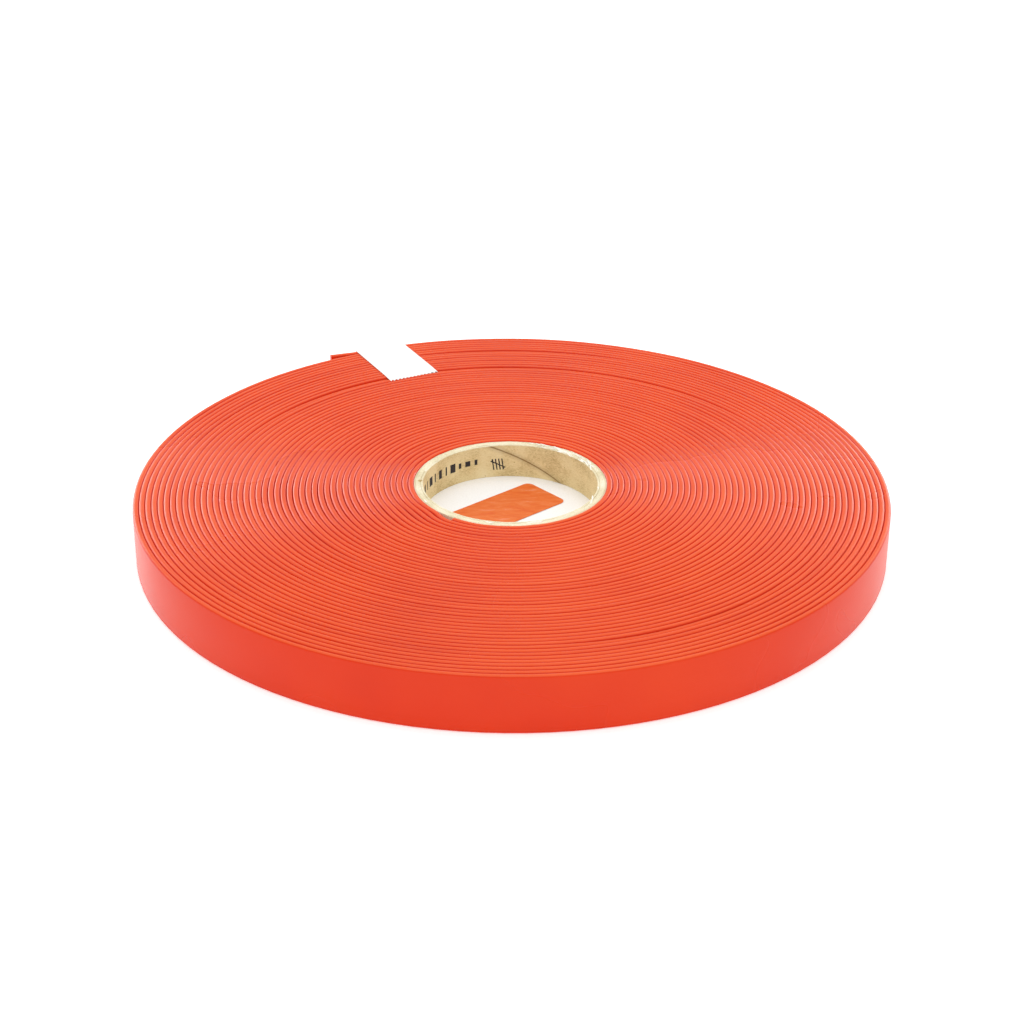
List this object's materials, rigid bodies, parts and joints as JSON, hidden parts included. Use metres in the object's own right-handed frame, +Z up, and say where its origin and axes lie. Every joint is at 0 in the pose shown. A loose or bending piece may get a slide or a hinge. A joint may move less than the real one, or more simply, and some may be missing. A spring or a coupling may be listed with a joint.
{
  "type": "roll of coated webbing belt",
  "caption": "Bulk roll of flat orange coated webbing belt wound edge-up on a paperboard core, its outer end held by a strip of white tape.",
  "frame": {"origin": "the core's axis at the plane of the face that the roll lies on", "axes": "+Z up along the core's axis; +X to the right and +Y to the back as the roll is usually seen, with the loose end at the back left"},
  "size_m": [0.3268, 0.3286, 0.0253],
  "materials": {
    "belt_coating": "satin orange-red polyurethane coating",
    "webbing": "woven polyester",
    "kraft_board": "plain kraft paperboard",
    "pale_board": "cut paperboard edge",
    "white_card": "matt",
    "label_paper": "matt, slightly scuffed",
    "hot_melt": "waxy",
    "white_tape": "matt"
  },
  "bodies": {
    "roll": {"core_liner": "kraft_board", "core_board": "pale_board", "core_wrap": "pale_board", "core_disc": "white_card", "disc_label": "label_paper", "start_glue": "hot_melt", "first_lap_coating": "belt_coating", "first_lap_webbing": "webbing", "wound_laps": "belt_coating", "last_lap_coating": "belt_coating", "last_lap_webbing": "webbing", "retaining_tape": "white_tape"},
    "loose_end": {"tail_coating": "belt_coating", "tail_webbing": "webbing"}
  },
  "joints": [
    {"name": "loose_end_bend", "type": "hinge", "parent": "roll", "child": "loose_end", "pos_m": [-0.07794, 0.14355, 0.0125], "axis": [0, 0, -1], "range_deg": [-10, 50], "stiffness_Nm_per_rad": 0.05}
  ]
}
